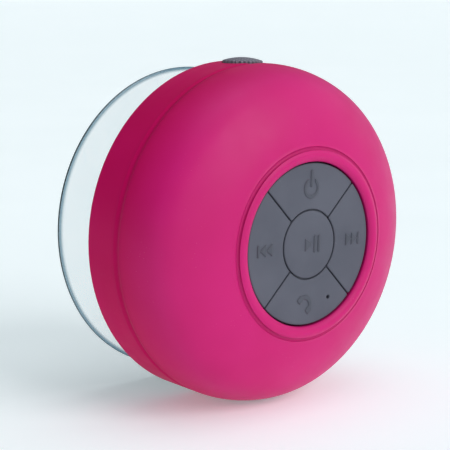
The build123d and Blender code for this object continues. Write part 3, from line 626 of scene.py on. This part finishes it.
def make_skin():
    """The silicone skin, with the seat of the port plug and the way through for its tongue and leg."""
    mesh = as_mesh(lathe(skin_section(), 256), "skin")
    port = -PORT_DEPTH
    seat_radius, seat_floor = 5.35, 42.3
    slot_x, slot_y = 3.9, 1.95
    leg_at, leg_radius = port - 3.8, 0.85
    slot_corners = ((-slot_x, -slot_y), (slot_x, -slot_y), (slot_x, slot_y), (-slot_x, slot_y))
    # Heights above the axis, one inside the skin and one outside it.
    inside, outside = 40, 45
    cutters = [
        prism(circle(0, port, seat_radius, 96), seat_floor, outside),
        prism([(x, port + y) for x, y in slot_corners], inside, BODY_RADIUS),
        prism(circle(0, leg_at, leg_radius, 32), inside, BODY_RADIUS),
    ]
    for number, work in enumerate(cutters):
        cutter = bpy.data.objects.new(f"cutter_{number}", as_mesh(work, "cutter"))
        bpy.context.scene.collection.objects.link(cutter)
        mesh = with_modifiers("skin", mesh, ("BOOLEAN", {"operation": "DIFFERENCE", "object": cutter}))
        bpy.data.objects.remove(cutter)
    mesh.shade_smooth()
    mesh.set_sharp_from_angle(angle=math.radians(50))
    mesh = with_modifiers("skin", mesh, ("WEIGHTED_NORMAL", {"keep_sharp": True}))
    return shown("skin", mesh, "silicone_skin")


def make_cup():
    """The suction cup with a rounded rim, pressed nearly flat."""
    # Underneath is a shallow hollow, part of a sphere.
    hollow_radius, hollow_rise = 35.5, 3.4
    sphere = (hollow_radius**2 + hollow_rise**2) / (2 * hollow_rise)
    section = []
    for step in range(25):
        radius = hollow_radius * step / 24
        section.append((radius, hollow_rise - sphere + math.sqrt(sphere**2 - radius**2)))
    rim = 0.5
    section += arc((CUP_RADIUS, rim), rim, -90, 90, 10)
    # The back slopes up to the stem, which ends in the head that the body turns on.
    stem = 5.8
    top = [(CUP_RADIUS, 2 * rim), (31.5, 2.6), (18.0, 4.9), (9.0, 6.2), (stem, 8.0)]
    section += flowing(top, (-5.0, 0.6), (0.0, 2.4), 12)[1:]
    section += [(stem, 9.9), (6.0, 10.1)] + arc((7.2, 10.8), 0.7, -90, 10, 6)
    section += [(7.2, 11.8), (5.0, 13.5), (0, 13.5)]
    return shown("cup", as_mesh(lathe(section, 192), "cup"), "suction_cup")


def radial_bar(work, start, end, width, low, high, angle):
    """Adds a bar that runs outwards at this angle: from start to end, and between two depths."""
    turn = Matrix.Rotation(math.radians(-angle), 4, "Y")
    side = width / 2
    corners = []
    for depth in (low, high):
        for along, across in ((start, -side), (end, -side), (end, side), (start, side)):
            corners.append(work.verts.new(turn @ Vector((along, -depth, across)) * MM))
    for face in ((0, 1, 2, 3), (4, 5, 6, 7), (0, 1, 5, 4), (1, 2, 6, 5), (2, 3, 7, 6), (3, 0, 4, 7)):
        work.faces.new([corners[k] for k in face])


def make_key_sheet():
    """The sheet under the keys, with the low web that stands in the gaps between them."""
    low, high, width = 47.25, 49.1, 0.22
    inner, outer = 8.44, 8.44 + width  # round the middle key
    bar_start, bar_end = 8.6, 19.8
    work = lathe([(inner, low), (outer, low), (outer, high), (inner, high)], 96)
    for quarter in range(4):
        radial_bar(work, bar_start, bar_end, width, low, high, 45 + 90 * quarter)
    bmesh.ops.recalc_face_normals(work, faces=work.faces)
    work.from_mesh(nodes["keypad_mat"].data)
    mesh = as_mesh(work, "key_sheet")
    mesh.set_sharp_from_angle(angle=math.radians(35))
    return shown("key_sheet", mesh, "keypad_mat")


def make_flexing(name, node, fixed_radius, moving_radius, count):
    """A ring that flexes between the basket and the cone, in wedges that each bend along their middle."""
    for number in range(count):
        middle = 2 * math.pi * (number + 0.5) / count
        half = math.pi / count
        work = bmesh.new()
        work.from_mesh(nodes[node].data)
        bmesh.ops.remove_doubles(work, verts=work.verts, dist=0.001 * MM)
        for side in (-1, 1):
            # The plane through the axis at this side of the wedge, facing out of it.
            turn = middle + side * half
            outwards = Vector((-math.sin(turn), 0, math.cos(turn))) * side
            everything = work.verts[:] + work.edges[:] + work.faces[:]
            cut = bmesh.ops.bisect_plane(
                work, geom=everything, dist=1e-7, plane_co=(0, 0, 0), plane_no=outwards, clear_outer=True
            )
            rim = [edge for edge in cut["geom_cut"] if isinstance(edge, bmesh.types.BMEdge)]
            bmesh.ops.holes_fill(work, edges=rim)
        towards = Vector((math.cos(middle), 0, math.sin(middle))) * MM
        mesh = as_mesh(work, f"{name}_{number:02d}")
        mesh.set_sharp_from_angle(angle=math.radians(60))
        piece = finished(mesh.name, mesh, node)
        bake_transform(piece, "speaker", "driver_cone", start=towards * fixed_radius, end=towards * moving_radius)


make_skin()
make_cup()
make_key_sheet()
make_flexing("surround", "speaker_surround", 18.2, 15.5, 12)
make_flexing("spider", "speaker_spider", 11.5, 7.2, 12)
for key in ("power", "next", "call", "previous", "play"):
    softened(f"key_cap_{key}", f"key_{key}", voxel=0.11, passes=2, kept=0.3, fuller=0.04)
softened("port_cap", "port_plug", voxel=0.1, passes=2, kept=0.6)


# ---------------------------------------------------------------- floor, light and camera
def pale_floor():
    """A plain pale floor. Far off it rises a little, so that no horizon line shows behind the object."""
    g = Graph("floor_paint")
    tone = g.blend(g.noise(3, detail=4), linear(243, 248, 249), linear(247, 251, 252))
    g.set(base_color=tone, roughness=g.remap(g.noise(12), 0.3, 0.7, 0.55, 0.7))
    g.set(normal=g.bump(g.noise(500), 0.01 * MM))
    g.set(emission_color=linear(232, 243, 247), emission_strength=0.26)
    # In metres: flat out to the first radius, then rising more and more steeply out to the second.
    flat, edge, rise, count = 3.0, 9.0, 0.6, 96
    low = cad_box[0][2] - 0.2 * MM
    radii = [flat * step / 4 for step in range(1, 5)]
    radii += [flat + (edge - flat) * step / 12 for step in range(1, 13)]
    work = bmesh.new()
    rings = [[work.verts.new((0, 0, low))]]
    for radius in radii:
        height = low + rise * max(0.0, (radius - flat) / (edge - flat)) ** 2
        rings.append([work.verts.new((x, y, height)) for x, y in circle(0, 0, radius, count)])
    for k in range(count):
        work.faces.new((rings[0][0], rings[1][k - 1], rings[1][k]))
        for near, far in zip(rings[1:], rings[2:]):
            work.faces.new((near[k - 1], far[k - 1], far[k], near[k]))
    mesh = as_mesh(work, "floor")
    mesh.materials.append(g.material)
    floor = bpy.data.objects.new("floor", mesh)
    bpy.context.scene.collection.objects.link(floor)


def towards_sky(azimuth, elevation):
    """A direction, in degrees. Azimuth 0 is in front of the keys, and 90 to the right of them."""
    a, e = math.radians(azimuth), math.radians(elevation)
    return Vector((math.sin(a) * math.cos(e), -math.cos(a) * math.cos(e), math.sin(e)))


def soft_light(name, azimuth, elevation, spread, strength):
    """An even light from far away, as wide as spread degrees."""
    away = towards_sky(azimuth, elevation)
    lamp = bpy.data.lights.new(name, "SUN")
    lamp.angle = math.radians(spread)
    lamp.energy = strength
    stand = bpy.data.objects.new(name, lamp)
    stand.location = away
    stand.rotation_euler = away.to_track_quat("Z", "Y").to_euler()
    bpy.context.scene.collection.objects.link(stand)


def studio_world():
    """An even pale room, dimmer to the left of and behind the object."""
    world = bpy.data.worlds.new("studio")
    world.use_nodes = True
    tree = world.node_tree
    place = tree.nodes.new("ShaderNodeTexCoord")
    across = tree.nodes.new("ShaderNodeVectorMath")
    across.operation = "DOT_PRODUCT"
    bright_side = (0.9, -0.4, 0.15)
    across.inputs[1].default_value = bright_side
    strength = tree.nodes.new("ShaderNodeMapRange")
    strength.inputs["From Min"].default_value = -1.0
    strength.inputs["To Min"].default_value = 0.12
    strength.inputs["To Max"].default_value = 0.56
    backdrop = tree.nodes["Background"]
    tree.links.new(place.outputs["Generated"], across.inputs[0])
    tree.links.new(across.outputs["Value"], strength.inputs["Value"])
    tree.links.new(strength.outputs["Result"], backdrop.inputs["Strength"])
    backdrop.inputs["Color"].default_value = linear(222, 238, 244)
    bpy.context.scene.world = world


def studio_camera():
    """A long lens, in front and to the left. The object's middle sits right of and below the centre."""
    azimuth, elevation, roll = -41.61, 10.04, math.radians(1.23)
    distance, aim_left, aim_up = 342.0, 5.93, 1.36
    middle = Vector((0, -27 * MM, 0))
    back = towards_sky(azimuth, elevation)
    right = towards_sky(azimuth + 90, 0)
    up = back.cross(right)
    place = middle + back * distance * MM
    aim = middle + (up * aim_up - right * aim_left) * MM
    # The camera's own axes: back from what it looks at, then right and up, turned by the roll.
    back = (place - aim).normalized()
    right = Vector((0, 0, 1)).cross(back).normalized()
    up = back.cross(right)
    turned_right = right * math.cos(roll) + up * math.sin(roll)
    turned_up = up * math.cos(roll) - right * math.sin(roll)
    lens = bpy.data.cameras.new("camera")
    lens.sensor_width = 36
    lens.lens = 106.58
    lens.clip_start = 0.01
    camera = bpy.data.objects.new("camera", lens)
    axes = Matrix((turned_right, turned_up, back)).transposed()
    camera.matrix_world = Matrix.Translation(place) @ axes.to_4x4()
    bpy.context.scene.collection.objects.link(camera)
    bpy.context.scene.camera = camera


pale_floor()
studio_world()
soft_light("key_light", 14, 34, 38, 1.3)
soft_light("front_light", -24, 14, 35, 0.35)
soft_light("top_light", 20, 84, 50, 0.62)
soft_light("right_light", 82, 24, 40, 0.22)
studio_camera()
bpy.context.scene.view_settings.view_transform = "Standard"
